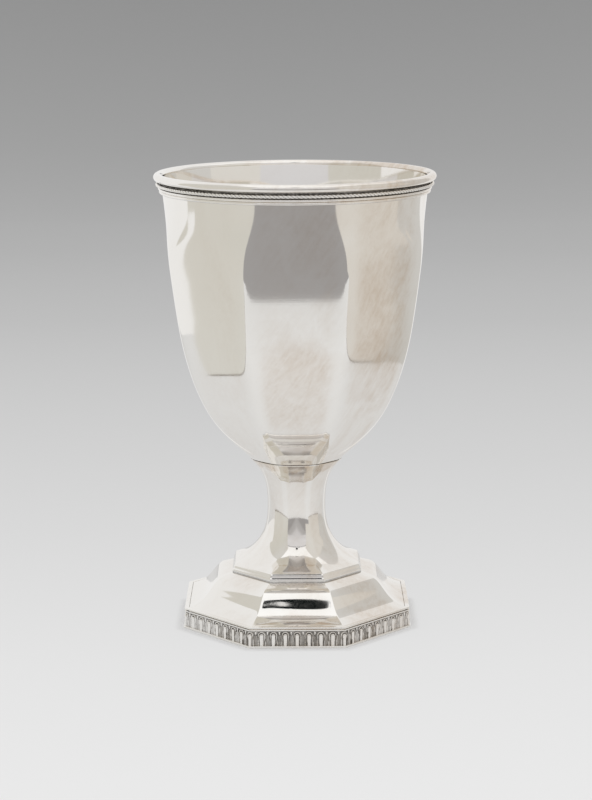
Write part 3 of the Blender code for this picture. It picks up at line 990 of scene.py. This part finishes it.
class GOBLET_OT_stage(bpy.types.Operator):
    """Lay the white sweep, stand the reflecting cards and place light and camera"""
    bl_idname = "goblet.stage"
    bl_label = "Studio"

    def execute(self, context):
        scene = context.scene
        stage = scene.goblet_stage
        self.lay_sweep(stage)
        self.stand_cards()
        self.light(scene, stage)
        self.place_camera(scene, stage)
        scene.view_settings.view_transform = "Standard"
        return {"FINISHED"}

    def lay_sweep(self, stage):
        """Lay paper that curves up behind the goblet and ends straight in front of it."""
        bm = bmesh.new()
        flat = 1.2
        bend = 0.4
        outline = [(0.0, 0.0), (0.3, 0.0), (flat, 0.0)]
        outline += oval((flat, bend), bend, bend, -90.0, 0.0, 12)[1:]
        outline.append((flat + bend, 1.0))
        verts, edges = drawn(bm, outline)
        bmesh.ops.spin(bm, geom=verts + edges, cent=(0, 0, 0), axis=(0, 0, 1),
                       angle=math.tau, steps=96, use_merge=True)
        bmesh.ops.remove_doubles(bm, verts=bm.verts, dist=TINY)
        bmesh.ops.bisect_plane(bm, geom=bm.verts[:] + bm.edges[:] + bm.faces[:], dist=TINY,
                               plane_co=(0, PAPER_EDGE, 0), plane_no=(0, -1, 0), clear_outer=True)
        bmesh.ops.recalc_face_normals(bm, faces=bm.faces)
        sweep = made_object("sweep", bm, floor_material(stage))
        sweep.data.shade_smooth()

    def stand_cards(self):
        """Stand the cards, the lamp, the dim room that the silver reflects, and painted shadow strips along
        the feet of the side cards.
        """
        ivory = glowing("Ivory card", ((0.0, (0.69, 0.68, 0.64)), (0.10, (0.66, 0.64, 0.59)),
                                       (0.18, (0.64, 0.625, 0.575)), (0.32, (0.66, 0.645, 0.615))))
        cream = glowing("Cream card", ((0.0, (0.70, 0.67, 0.63)), (0.10, (0.71, 0.68, 0.635)),
                                       (0.20, (0.73, 0.71, 0.675))))
        buff = glowing("Buff card", ((0.0, (0.60, 0.595, 0.575)), (0.11, (0.63, 0.62, 0.60)),
                                     (0.24, (0.64, 0.63, 0.61)), (0.32, (0.70, 0.69, 0.68))))
        grey = glowing("Grey card", ((0.165, (0.66, 0.65, 0.66)), (0.25, (0.74, 0.735, 0.75))))
        dim = glowing("Dim room", ((-0.25, (0.36, 0.35, 0.35)), (-0.12, (0.45, 0.44, 0.44)),
                                   (0.10, (0.48, 0.47, 0.47)), (0.30, (0.62, 0.61, 0.62)),
                                   (0.60, (0.67, 0.66, 0.67))), valley=0.75)
        white = glowing("White card", ((0.0, (0.88, 0.875, 0.87)),))
        shadow = glowing("Shadow under the cards", ((0.0, (0.26, 0.23, 0.20)),))
        black = glowing("Black card", ((0.0, (0.006, 0.008, 0.008)),))
        left_outline = ((-0.285, 0.0), (0.011, 0.0), (0.001, 0.030), (-0.008, 0.058),
                        (-0.011, 0.080), (-0.009, 0.112), (0.015, 0.1145), (0.016, 0.150),
                        (0.012, 0.168), (0.012, 0.45), (-0.285, 0.45))
        foot = LEFT_CARD + 0.1 * MM
        cut_card("left_card", LEFT_CARD, left_outline, ivory)
        # A painted shadow strip along the bottom of the left card.
        stand_card("left_card_shadow", (foot, -0.285), (foot, 0.010), 0.0, 0.002, shadow)
        stand_card("left_back", (-0.300, -0.030), (-0.300, 0.450), 0.0, 1.0, white)
        stand_card("left_low", (-0.045, 0.050), (-0.300, 0.300), 0.0, 0.10, white)
        stand_card("left_corner", (-0.300, 0.450), (-0.060, 0.620), 0.0, 1.0, white)
        right_outline = ((-0.206, 0.0), (0.004, 0.0), (-0.004, 0.034), (-0.007, 0.053),
                         (-0.013, 0.070), (-0.013, 0.088), (0.002, 0.102), (0.006, 0.110),
                         (0.045, 0.118), (0.045, 0.165), (0.0, 0.172), (0.0, 0.50), (-0.206, 0.50))
        foot = RIGHT_CARD - 0.1 * MM
        cut_card("right_card", RIGHT_CARD, right_outline, cream)
        # A painted shadow strip along the bottom of the right card.
        stand_card("right_card_shadow", (foot, -0.206), (foot, 0.003), 0.0, 0.002, shadow)
        stand_card("right_wing", (0.211, -0.330), (0.211, -0.206), 0.04, 0.50, cream)
        stand_card("rear_card", (0.210, -0.020), (0.205, 0.180), 0.0, 0.36, buff)
        stand_card("rear_corner", (0.205, 0.180), (0.103, 0.298), 0.0, 1.0, white)
        stand_card("right_back", (0.103, 0.298), (0.060, 0.620), 0.0, 1.0, white)
        stand_card("right_low", (0.045, 0.050), (0.204, 0.180), 0.0, 0.06, white)
        stand_card("middle_back", (-0.060, 0.620), (0.060, 0.620), 0.20, 1.0, white)
        stand_card("front_card", (-0.240, PAPER_EDGE), (0.212, PAPER_EDGE), 0.165, 0.425, grey)
        gap = PAPER_EDGE + 0.3 * MM
        stand_card("front_gap", (-0.240, gap), (0.212, gap), 0.398, 0.409, black)
        stand_card("dim_room", (-2.5, -1.3), (2.5, -1.3), -0.9, 0.9, dim)
        hang_card("opening", (0.002, PAPER_EDGE - 0.5 * MM, 0.430), (0.0235, 0.090), black)
        hang_card("lamp", (-0.0105, PAPER_EDGE + 0.5 * MM, 0.428), (0.0026, 0.024), white)

    def light(self, scene, stage):
        """Light everything softly, more strongly from overhead."""
        world = bpy.data.worlds.new("Studio light")
        world.use_nodes = True
        scene.world = world
        tree = world.node_tree
        tree.nodes.clear()
        toward = add(tree, "ShaderNodeTexCoord").outputs["Generated"]
        up = add(tree, "ShaderNodeSeparateXYZ", {0: toward}).outputs["Z"]
        share = ranged(tree, up, 0.25, 1.0, 0.0, 1.0)
        tone = mixed(tree, share, (0.91, 0.91, 0.915, 1.0), (1.06, 1.06, 1.06, 1.0))
        glow = add(tree, "ShaderNodeBackground", {"Color": tone, "Strength": stage.light})
        add(tree, "ShaderNodeOutputWorld", {"Surface": glow.outputs[0]})

    def place_camera(self, scene, stage):
        """Place the camera in front, a little above the mouth, looking down."""
        lens = bpy.data.cameras.new("camera")
        lens.lens = stage.lens
        lens.sensor_width = 36.0
        lens.clip_start = 0.01
        lens.clip_end = 20.0
        camera = bpy.data.objects.new("camera", lens)
        scene.collection.objects.link(camera)
        downward = 0.2006
        lean = -0.0051
        place = Matrix.Translation((0.0, -0.7231, 0.226))
        tilt = Matrix.Rotation(math.pi / 2 - downward, 4, "X")
        camera.matrix_world = place @ tilt @ Matrix.Rotation(lean, 4, "Z")
        scene.camera = camera


SETTINGS = {"goblet_sizes": GobletSizes, "goblet_finish": GobletFinish, "goblet_stage": GobletStage}

PIECE_OPERATORS = (GOBLET_OT_cup, GOBLET_OT_stem, GOBLET_OT_foot, GOBLET_OT_foot_wires, GOBLET_OT_frieze,
                   GOBLET_OT_moulding, GOBLET_OT_rope, GOBLET_OT_lip, GOBLET_OT_stage)


class GOBLET_PT_panel(bpy.types.Panel):
    """Goblet pieces and their settings"""
    bl_label = "Goblet"
    bl_idname = "GOBLET_PT_panel"
    bl_space_type = "VIEW_3D"
    bl_region_type = "UI"
    bl_category = "Goblet"

    def draw(self, context):
        for group, kind in SETTINGS.items():
            box = self.layout.box()
            for name in kind.__annotations__:
                box.prop(getattr(context.scene, group), name)
        for operator in PIECE_OPERATORS:
            self.layout.operator(operator.bl_idname)


CLASSES = (*SETTINGS.values(), *PIECE_OPERATORS, GOBLET_PT_panel)


def register():
    for item in CLASSES:
        bpy.utils.register_class(item)
    for group, kind in SETTINGS.items():
        setattr(bpy.types.Scene, group, bpy.props.PointerProperty(type=kind))


def unregister():
    for group in SETTINGS:
        delattr(bpy.types.Scene, group)
    for item in reversed(CLASSES):
        bpy.utils.unregister_class(item)


def main():
    register()
    bpy.ops.goblet.cup()
    bpy.ops.goblet.stem()
    bpy.ops.goblet.foot()
    bpy.ops.goblet.foot_wires()
    bpy.ops.goblet.frieze()
    bpy.ops.goblet.moulding()
    bpy.ops.goblet.rope()
    bpy.ops.goblet.lip()
    bpy.ops.goblet.stage()


if __name__ == "__main__":
    main()
